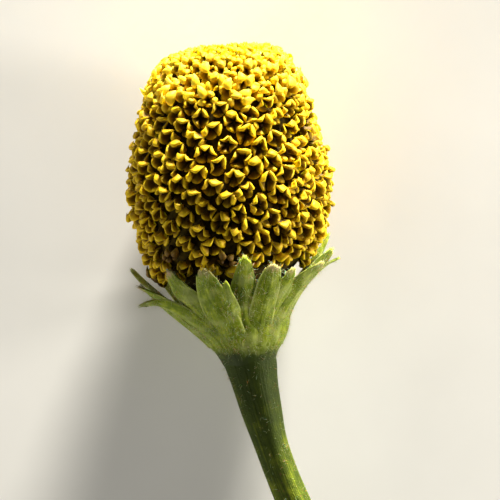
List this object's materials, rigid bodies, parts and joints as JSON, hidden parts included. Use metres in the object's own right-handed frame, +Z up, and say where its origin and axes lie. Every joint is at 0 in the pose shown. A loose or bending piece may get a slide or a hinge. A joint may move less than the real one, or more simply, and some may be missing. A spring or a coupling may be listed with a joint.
{
  "type": "toothache plant flower head",
  "caption": "Oblong yellow rayless flower head of packed tubular florets on a cup of green bracts, cut with a short stalk, laid on its side.",
  "frame": {"origin": "on the surface that the flower lies on, under the middle of the rectangle that it covers", "axes": "+Y the way the head points, from the cut stalk to the crown, +Z up from the surface, +X to the right with the crown at the top"},
  "size_m": [0.0154, 0.0366, 0.0137],
  "materials": {
    "florets": "waxy, slightly translucent golden petals",
    "bracts": "dull leafy green with fine pale hairs",
    "stalk": "satin green with faint ridges and sparse hairs"
  },
  "bodies": {
    "root": {"disc_florets": "florets", "involucre": "bracts", "peduncle": "stalk"}
  },
  "joints": []
}
